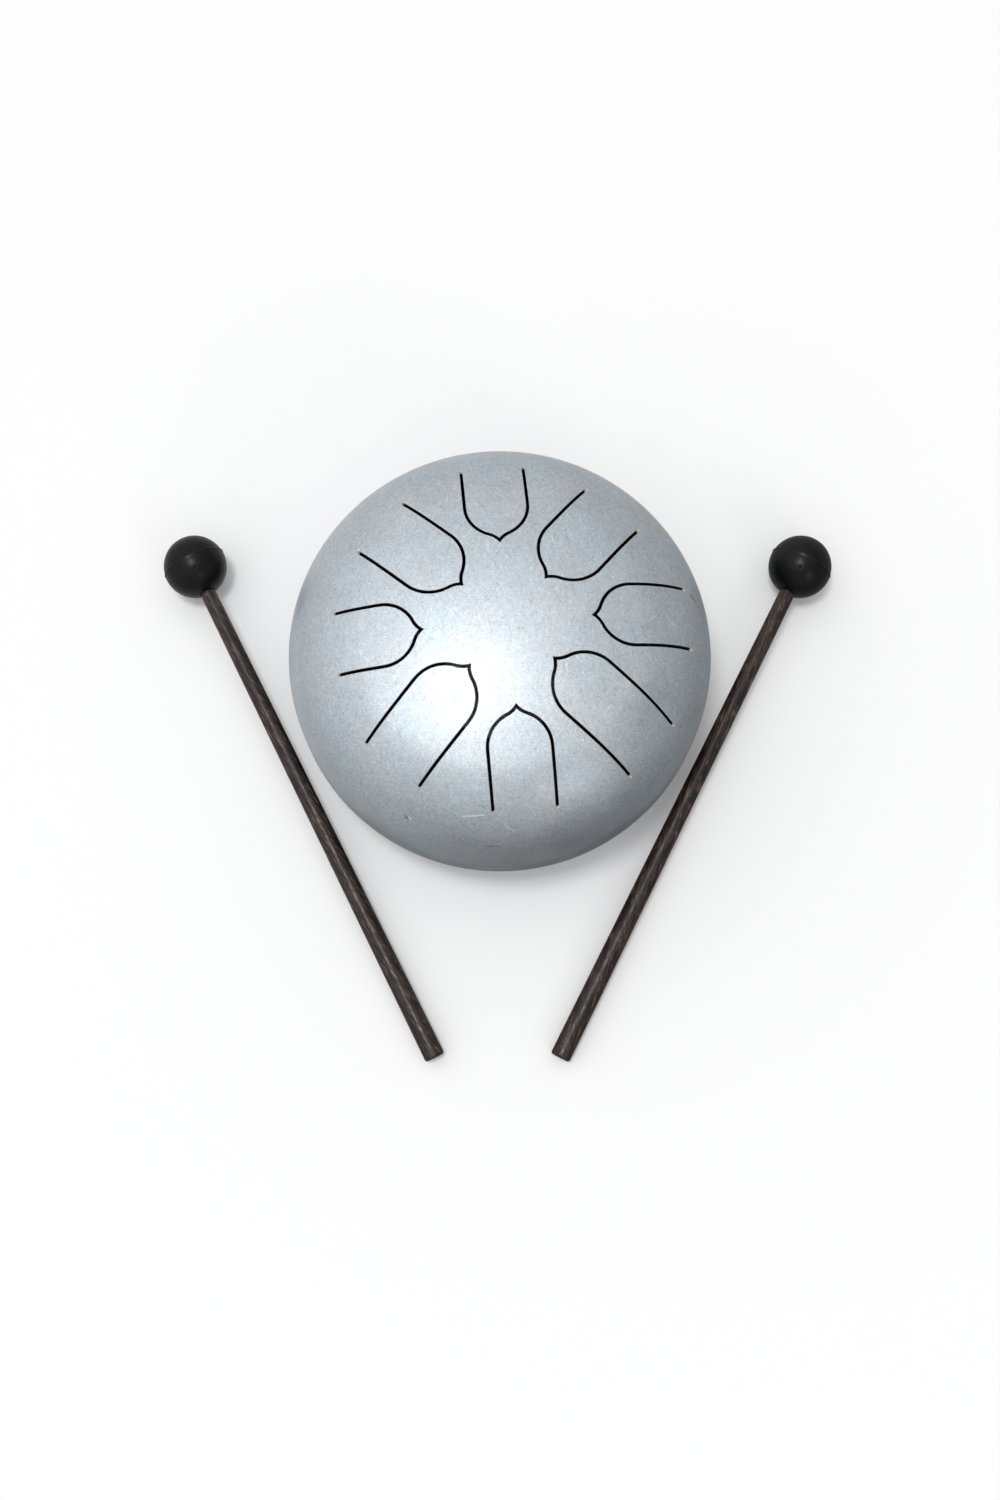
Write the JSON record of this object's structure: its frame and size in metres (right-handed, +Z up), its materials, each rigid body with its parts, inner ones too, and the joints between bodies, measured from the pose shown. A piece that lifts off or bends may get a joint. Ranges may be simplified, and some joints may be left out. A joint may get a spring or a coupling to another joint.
{
  "type": "steel tongue drum",
  "caption": "Round steel tongue drum with a domed shell cut into ogee-tipped tongues, a bowl-shaped bottom with a sound hole, rubber feet, and rubber-headed wooden mallets beside it.",
  "frame": {"origin": "the drum's axis at table level, under its feet", "axes": "+Z up along the drum's axis, +X to the player's right, the player at -Y"},
  "size_m": [0.2556, 0.2185, 0.086],
  "materials": {
    "steel": "satin, fine swirl scratches",
    "weld": "ground weld",
    "foot_rubber": "matte",
    "head_rubber": "satin, moulded",
    "stick_wood": "oiled dark hardwood"
  },
  "bodies": {
    "drum": {"top_shell": "steel", "bottom_shell": "steel", "rim_weld": "weld", "foot_1": "foot_rubber", "foot_2": "foot_rubber", "foot_3": "foot_rubber"},
    "tongue_1": {"tongue_1": "steel"},
    "tongue_2": {"tongue_2": "steel"},
    "tongue_3": {"tongue_3": "steel"},
    "tongue_4": {"tongue_4": "steel"},
    "tongue_5": {"tongue_5": "steel"},
    "tongue_6": {"tongue_6": "steel"},
    "tongue_7": {"tongue_7": "steel"},
    "tongue_8": {"tongue_8": "steel"},
    "mallet_left": {"mallet_stick_left": "stick_wood", "mallet_head_left": "head_rubber"},
    "mallet_right": {"mallet_stick_right": "stick_wood", "mallet_head_right": "head_rubber"}
  },
  "joints": [
    {"name": "tongue_1_flex", "type": "hinge", "parent": "drum", "child": "tongue_1", "pos_m": [-0.00278, 0.05904, 0.07302], "axis": [0.9956, 0.0941, 0], "range_deg": [-0.4, 0.4], "stiffness_Nm_per_rad": 73},
    {"name": "tongue_2_flex", "type": "hinge", "parent": "drum", "child": "tongue_2", "pos_m": [0.039, 0.04376, 0.07335], "axis": [0.7705, -0.6374, 0], "range_deg": [-0.4, 0.4], "stiffness_Nm_per_rad": 73},
    {"name": "tongue_3_flex", "type": "hinge", "parent": "drum", "child": "tongue_3", "pos_m": [0.06486, 0.00587, 0.06777], "axis": [0.0941, -0.9956, 0], "range_deg": [-0.4, 0.4], "stiffness_Nm_per_rad": 73},
    {"name": "tongue_4_flex", "type": "hinge", "parent": "drum", "child": "tongue_4", "pos_m": [0.05165, -0.04041, 0.06727], "axis": [-0.6374, -0.7705, 0], "range_deg": [-0.4, 0.4], "stiffness_Nm_per_rad": 73},
    {"name": "tongue_5_flex", "type": "hinge", "parent": "drum", "child": "tongue_5", "pos_m": [0.00861, -0.06146, 0.07072], "axis": [-0.9956, -0.0941, 0], "range_deg": [-0.4, 0.4], "stiffness_Nm_per_rad": 73},
    {"name": "tongue_6_flex", "type": "hinge", "parent": "drum", "child": "tongue_6", "pos_m": [-0.03606, -0.04698, 0.07293], "axis": [-0.7705, 0.6374, 0], "range_deg": [-0.4, 0.4], "stiffness_Nm_per_rad": 73},
    {"name": "tongue_7_flex", "type": "hinge", "parent": "drum", "child": "tongue_7", "pos_m": [-0.05541, -0.0055, 0.07515], "axis": [-0.0941, 0.9956, 0], "range_deg": [-0.4, 0.4], "stiffness_Nm_per_rad": 73},
    {"name": "tongue_8_flex", "type": "hinge", "parent": "drum", "child": "tongue_8", "pos_m": [-0.04119, 0.03639, 0.07553], "axis": [0.6374, 0.7705, 0], "range_deg": [-0.4, 0.4], "stiffness_Nm_per_rad": 73},
    {"name": "mallet_left_lift", "type": "slide", "parent": "drum", "child": "mallet_left", "axis": [0, 0, 1], "range_m": [0, 0.1]},
    {"name": "mallet_right_lift", "type": "slide", "parent": "drum", "child": "mallet_right", "axis": [0, 0, 1], "range_m": [0, 0.1]}
  ]
}
